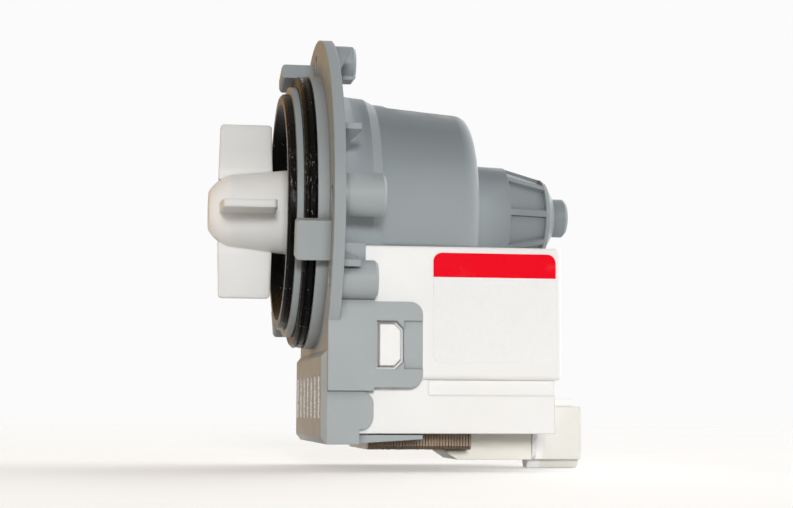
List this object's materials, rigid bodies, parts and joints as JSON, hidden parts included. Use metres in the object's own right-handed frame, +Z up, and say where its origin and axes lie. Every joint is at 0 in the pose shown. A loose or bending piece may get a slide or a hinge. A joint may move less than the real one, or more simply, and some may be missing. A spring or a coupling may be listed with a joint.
{
  "type": "drain pump",
  "caption": "Drain pump with a round screw-on flange and sealed spigot, a vaned impeller on a synchronous motor, and a clipped stator cover with a tab connector.",
  "frame": {"origin": "on the rotor axis, in the plane of the flange's front seating face", "axes": "+X along the rotor axis from the impeller to the rear bearing, +Z up, away from the stator; the label is on the -Y side"},
  "size_m": [0.0861, 0.0796, 0.0982],
  "materials": {
    "pump_housing": "moulded polypropylene, fine texture",
    "spigot_gasket": "satin black",
    "seal_plate": "glossy black",
    "shaft_seal": "satin black",
    "front_bearing_mount": "matte black",
    "front_bearing_bush": "sintered carbon grey",
    "rear_bearing_mount": "matte black",
    "rear_bearing_bush": "sintered carbon grey",
    "rotor_shaft": "ground",
    "magnet_sleeve": "natural",
    "rotor_magnet": "ground ferrite",
    "front_thrust_washer": "natural",
    "rear_thrust_washer": "natural",
    "drive_dog": "natural",
    "impeller": "translucent natural white",
    "impeller_damper": "matte black",
    "impeller_hub_cap": "natural white",
    "stator_core": "stamped sheets",
    "coil_bobbin": "cream",
    "left_winding": "enamelled copper wire",
    "right_winding": "enamelled copper wire",
    "stator_cover": "white, satin",
    "terminal_tabs": "bright brass",
    "thermal_cutout": "black",
    "blank_label": "satin film, red band over white"
  },
  "bodies": {
    "stator": {"pump_housing": "pump_housing", "spigot_gasket": "spigot_gasket", "seal_plate": "seal_plate", "shaft_seal": "shaft_seal", "front_bearing_mount": "front_bearing_mount", "front_bearing_bush": "front_bearing_bush", "rear_bearing_mount": "rear_bearing_mount", "rear_bearing_bush": "rear_bearing_bush", "stator_core": "stator_core", "coil_bobbin": "coil_bobbin", "left_winding": "left_winding", "right_winding": "right_winding", "stator_cover": "stator_cover", "terminal_tabs": "terminal_tabs", "thermal_cutout": "thermal_cutout", "blank_label": "blank_label"},
    "rotor": {"rotor_shaft": "rotor_shaft", "magnet_sleeve": "magnet_sleeve", "rotor_magnet": "rotor_magnet", "front_thrust_washer": "front_thrust_washer", "rear_thrust_washer": "rear_thrust_washer", "drive_dog": "drive_dog"},
    "impeller": {"impeller": "impeller", "impeller_damper": "impeller_damper", "impeller_hub_cap": "impeller_hub_cap"}
  },
  "joints": [
    {"name": "rotor_spin", "type": "hinge", "parent": "stator", "child": "rotor", "pos_m": [0, 0, 0], "axis": [1, 0, 0], "continuous": true},
    {"name": "impeller_play", "type": "hinge", "parent": "rotor", "child": "impeller", "pos_m": [0, 0, 0], "axis": [1, 0, 0], "range_deg": [-135, 135]}
  ]
}
